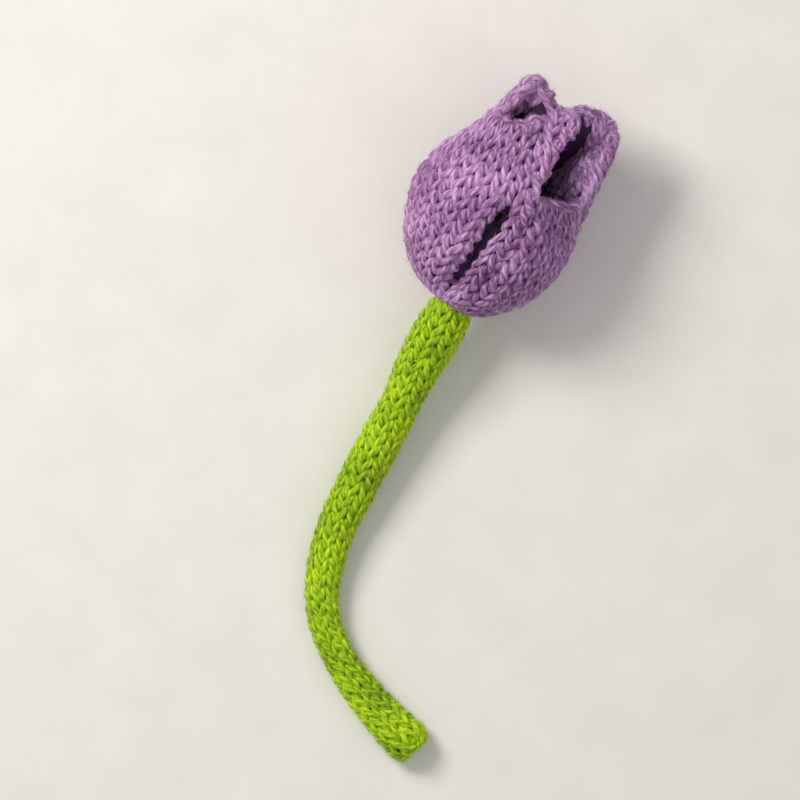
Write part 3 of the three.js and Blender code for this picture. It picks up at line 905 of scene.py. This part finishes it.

# Thin dark sheets behind the loops, so that no light comes through between them. They stand in for the back
# of the fabric, and their dark colour is painted shade: the shade between the loops, in the slit and down in
# the pockets.
# The two numbers of behind are the depths of a sheet's two sides below the middle of the fabric.
SHADE_SHEET_SIDES = 156
HEAD_SHADE_SHEET = dict(behind=(0.9, 1.4), low=3.2, rings=60)  # it ends this low below the rim
POCKET_SHADE_SHEET = dict(behind=(-0.4, 0.1), down=(0.5, 30), rings=30)
STEM_SHADE_SHEET = dict(behind=(0.7, 1.1), starts=-1.4, rings=120, sides=36)
sheet_angle, sheet_side = signed(np.arange(SHADE_SHEET_SIDES) + 0.5, SHADE_SHEET_SIDES)


def shade_sheet(name, ring, places, behind, material):
    """A closed layer, of rings at places on its outer side and then back on its inner side."""
    rings = [ring(place, behind[0]) for place in places]
    rings += [ring(place, behind[1]) for place in places[::-1]]
    faces = ring_faces(len(rings), len(rings[0]), closed=True)
    return mesh_object(name, np.concatenate(rings), faces.reshape(-1, 4).tolist(), material)


def head_ring(share, behind):
    """A ring of the head's sheet of painted shade at a share of the way from the stem to the rim."""
    rim = line_of_height(rim_height(sheet_angle)) * SHAPE_STEP - HEAD_SHADE_SHEET["low"]
    rows = share * rim / ROW_HEIGHT
    return head_points(sheet_angle, sheet_side, rows, HEAD_DEPTH + behind, FLAT_HEIGHT + behind)


def pocket_ring(inside, behind):
    """A ring of the pockets' sheet of painted shade, some way down inside the rim."""
    round_angle, _ = seam_fold(sheet_angle, sheet_side, np.full(SHADE_SHEET_SIDES, float(RIM_LINE)))
    rows = row_beyond(round_angle, np.pi * ROLL + inside)
    return head_points(sheet_angle, sheet_side, rows, HEAD_DEPTH + behind, FLAT_HEIGHT)


def stem_ring(row, behind):
    """A ring of the stem's sheet of painted shade."""
    sides = STEM_SHADE_SHEET["sides"]
    angle = 2 * np.pi * np.arange(sides) / sides
    return stem_points(angle, np.full(sides, row), STEM_DEPTH + behind, STEM_FLAT + behind)


shares = np.linspace(0, 1, HEAD_SHADE_SHEET["rings"])
head_shade = shade_sheet("head_shade_sheet", head_ring, shares, HEAD_SHADE_SHEET["behind"], purple_painted_shade)
levels = np.linspace(*POCKET_SHADE_SHEET["down"], POCKET_SHADE_SHEET["rings"])
pocket_shade_sheet = shade_sheet("pocket_shade_sheet", pocket_ring, levels, POCKET_SHADE_SHEET["behind"], pocket_painted_shade)

# The stem's knitting.

stem = Yarn(**STEM_YARN)


def stem_course(row, wales):
    """One closed row of loops round the stem."""
    across, along, out, thickness = (values[:-1] for values in loop_course(wales, **STEM_LOOP))
    at_row = np.clip(row + 0.5 + along, STEM_LAST, STEM_ROWS)
    points, outward = stem_cloth(2 * np.pi * across / wales, at_row)
    stem.strand(points + outward * out[:, None], outward, thickness, closed=True)


for row in range(STEM_ROWS):
    stem_course(row, STEM_WALES)
stem_course(STEM_END_ROW, STEM_END_WALES)
stem_knit = stem.build("stem_knit", green_yarn)
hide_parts("stem_cover")

# The stem's dark sheet behind its loops: painted shade between them.
stem_rows = np.linspace(STEM_SHADE_SHEET["starts"], STEM_ROWS, STEM_SHADE_SHEET["rings"])
stem_shade_sheet = shade_sheet("stem_shade_sheet", stem_ring, stem_rows, STEM_SHADE_SHEET["behind"], green_painted_shade)

# The strands that hold the pinch: one over the rim, and one from the left lobe down along the ridge. The rows
# of RIDGE_STRAND give x, y and how far the strand's middle is lifted off the front's skin.
PINCH_THICKNESS = 0.95
PINCH_STEPS = 10
PINCH_ANGLES = (-0.15, math.pi + 0.12)  # where the rim's height is taken in front and behind
LOBE_END = [[-9.6, 54.6, -4.6], [-8.0, 57.0, -2.9], [-4.6, 56.0, 0.4]]
RIDGE_STRAND = [[-1.2, 53.2, 0.5], [0.9, 50.8, 0.5], [2.6, 47.4, 0.4], [3.6, 43.6, 0.1], [4.0, 40.0, -1.4]]
pinch = Yarn(**HEAD_YARN)


def over_rim(x):
    """A line over the rim at x, from below it on the front to below it on the back."""
    front_top, back_top = rim_height(np.array(PINCH_ANGLES))
    front = [[x + 0.5, front_top - 4, 5.2], [x + 0.2, front_top - 1.5, 4.6]]
    back = [[x - 0.2, back_top - 1.5, -4.2], [x - 0.5, back_top - 4, -4.8]]
    top = max(front_top, back_top) - 0.5
    return smooth_line([*front, [x, top, 1.8], [x, top, -1.8], *back], PINCH_STEPS)


def on_front(x, y, lift):
    """The point of the front at x and y, lifted off its skin."""
    q = line_of_height(np.array([y]))
    _, left, right, _ = shape_at(q)
    angle = np.arcsin((x - (right - left) / 2) / ((right + left) / 2))
    base, out, _ = skin_frame(angle, q)
    return (base + out * (fold_lift(base) + lift)[:, None])[0]


ridge_part = [on_front(x, y, lift) for x, y, lift in RIDGE_STRAND]
for path in (over_rim(PINCH["x"]), smooth_line([*LOBE_END, *ridge_part], PINCH_STEPS)):
    line = to_table(path)
    outward = unit(line - line.mean(axis=0) + [0, 0, 0.01])
    pinch.strand(line, outward, PINCH_THICKNESS)
pinch_strand = pinch.build("pinch_strand", purple_yarn)
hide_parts("pinch_stitch")

HEAD_FUZZ = dict(count=13000, lengths=(0.7, 2.2))
STEM_FUZZ = dict(count=7000, lengths=(0.6, 1.7))
head_fuzz = fuzz("head_fuzz", (lower, upper), material=purple_hair, **HEAD_FUZZ)
stem_fuzz = fuzz("stem_fuzz", (stem,), material=green_hair, **STEM_FUZZ)

# The head's stuffing takes the filling's dark purple, which is painted shade.
for node, material in (("head_stuffing", filling), ("stem_core", core_pile)):
    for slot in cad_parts[node].material_slots:
        slot.material = material

# The table and the light.

FLOOR_HALF = 2  # in metres
floor_corners = [(x * FLOOR_HALF, y * FLOOR_HALF, 0) for x, y in ((-1, -1), (1, -1), (1, 1), (-1, 1))]
floor_mesh = bpy.data.meshes.new("floor")
floor_mesh.from_pydata(floor_corners, [], [(0, 1, 2, 3)])
floor = bpy.data.objects.new("floor", floor_mesh)
bpy.context.collection.objects.link(floor)
paper = Nodes("paper")
paper_place = paper.make("TexCoord").outputs["Object"]
paper_tones = [(0.3, srgb(230, 226, 217)), (0.7, srgb(235, 231, 223))]
paper.put(paper.shader.inputs["Base Color"], paper.ramp(paper.noise(paper_place, 60.0, 3.0), paper_tones))
paper.shader.inputs["Roughness"].default_value = 0.9
floor_mesh.materials.append(paper.material)


def lamp(name, place, size, watts, colour):
    """A square lamp that shines at the middle of the table. place and size are in metres."""
    light = bpy.data.objects.new(name, bpy.data.lights.new(name, "AREA"))
    light.data.size = size
    light.data.energy = watts
    light.data.color = colour
    light.location = place
    light.rotation_mode = "QUATERNION"
    light.rotation_quaternion = (-light.location).to_track_quat("-Z", "Y")
    bpy.context.collection.objects.link(light)


lamp("key", (-0.5, 0.42, 0.62), 0.35, 6.0, (1.0, 0.98, 0.95))
lamp("fill", (0.5, -0.3, 0.9), 0.9, 1.2, (0.93, 0.95, 1.0))
world = bpy.data.worlds.new("world")
bpy.context.scene.world = world
world.use_nodes = True
background = world.node_tree.nodes["Background"]
background.inputs["Color"].default_value = (0.96, 0.97, 1.0, 1)
background.inputs["Strength"].default_value = 0.45
bpy.context.scene.view_settings.view_transform = "Standard"
